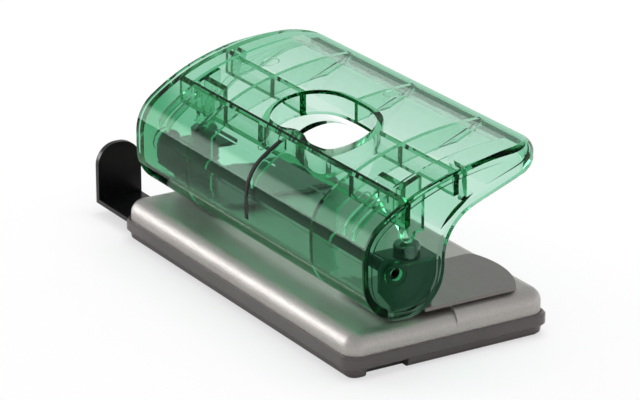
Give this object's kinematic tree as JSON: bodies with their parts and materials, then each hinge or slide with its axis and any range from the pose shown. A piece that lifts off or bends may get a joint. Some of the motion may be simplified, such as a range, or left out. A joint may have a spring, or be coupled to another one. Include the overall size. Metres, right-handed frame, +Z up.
{
  "type": "hole punch",
  "caption": "Small two-hole desk punch: a see-through moulded lever over sprung punch pins on a steel base, with a sliding paper guide and a chip tray that swings open.",
  "frame": {"origin": "on the desk, midway between the two punch pins", "axes": "+X towards the right end, away from the paper guide's tab; +Y from the paper's side towards the back of the lever; +Z up"},
  "size_m": [0.1107, 0.0488, 0.0416],
  "materials": {
    "clear_green_plastic": "see-through tinted plastic, polished",
    "satin_grey_steel": "satin steel sheet",
    "zinc_plated_steel": "zinc-plated steel sheet",
    "bright_steel": "ground bright steel",
    "spring_steel": "drawn spring wire",
    "smoke_plastic": "smoke-grey see-through plastic",
    "black_plastic": "black plastic, satin gloss"
  },
  "bodies": {
    "base": {"base_plate": "satin_grey_steel", "base_frame": "smoke_plastic", "left_bracket": "zinc_plated_steel", "right_bracket": "zinc_plated_steel", "axle": "bright_steel", "left_return_spring": "spring_steel", "right_return_spring": "spring_steel"},
    "lever": {"lever": "clear_green_plastic"},
    "left_pin": {"left_punch_pin": "bright_steel", "left_pin_clip": "spring_steel", "left_spring_collar": "black_plastic"},
    "right_pin": {"right_punch_pin": "bright_steel", "right_pin_clip": "spring_steel", "right_spring_collar": "black_plastic"},
    "paper_guide": {"paper_guide": "black_plastic"},
    "chip_tray": {"chip_tray": "smoke_plastic"}
  },
  "joints": [
    {"name": "lever_hinge", "type": "hinge", "parent": "base", "child": "lever", "pos_m": [0, -0.0064, 0.0208], "axis": [-1, 0, 0], "range_deg": [0, 22], "stiffness_Nm_per_rad": 0.054, "springref_deg": -31.51},
    {"name": "left_pin_slide", "type": "slide", "parent": "base", "child": "left_pin", "axis": [0, 0, -1], "range_m": [0, 0.00276], "deforming": ["left_return_spring"]},
    {"name": "right_pin_slide", "type": "slide", "parent": "base", "child": "right_pin", "axis": [0, 0, -1], "range_m": [0, 0.00276], "deforming": ["right_return_spring"]},
    {"name": "guide_slide", "type": "slide", "parent": "base", "child": "paper_guide", "axis": [-1, 0, 0], "range_m": [-0.014, 0.044]},
    {"name": "tray_hinge", "type": "hinge", "parent": "base", "child": "chip_tray", "pos_m": [-0.04655, 0, 0.00197], "axis": [0, 1, 0], "range_deg": [0, 70]}
  ],
  "couplings": [
    {"joint": "left_pin_slide", "follows": "lever_hinge", "m_per_rad": 0.0071731},
    {"joint": "right_pin_slide", "follows": "lever_hinge", "m_per_rad": 0.0071731}
  ]
}
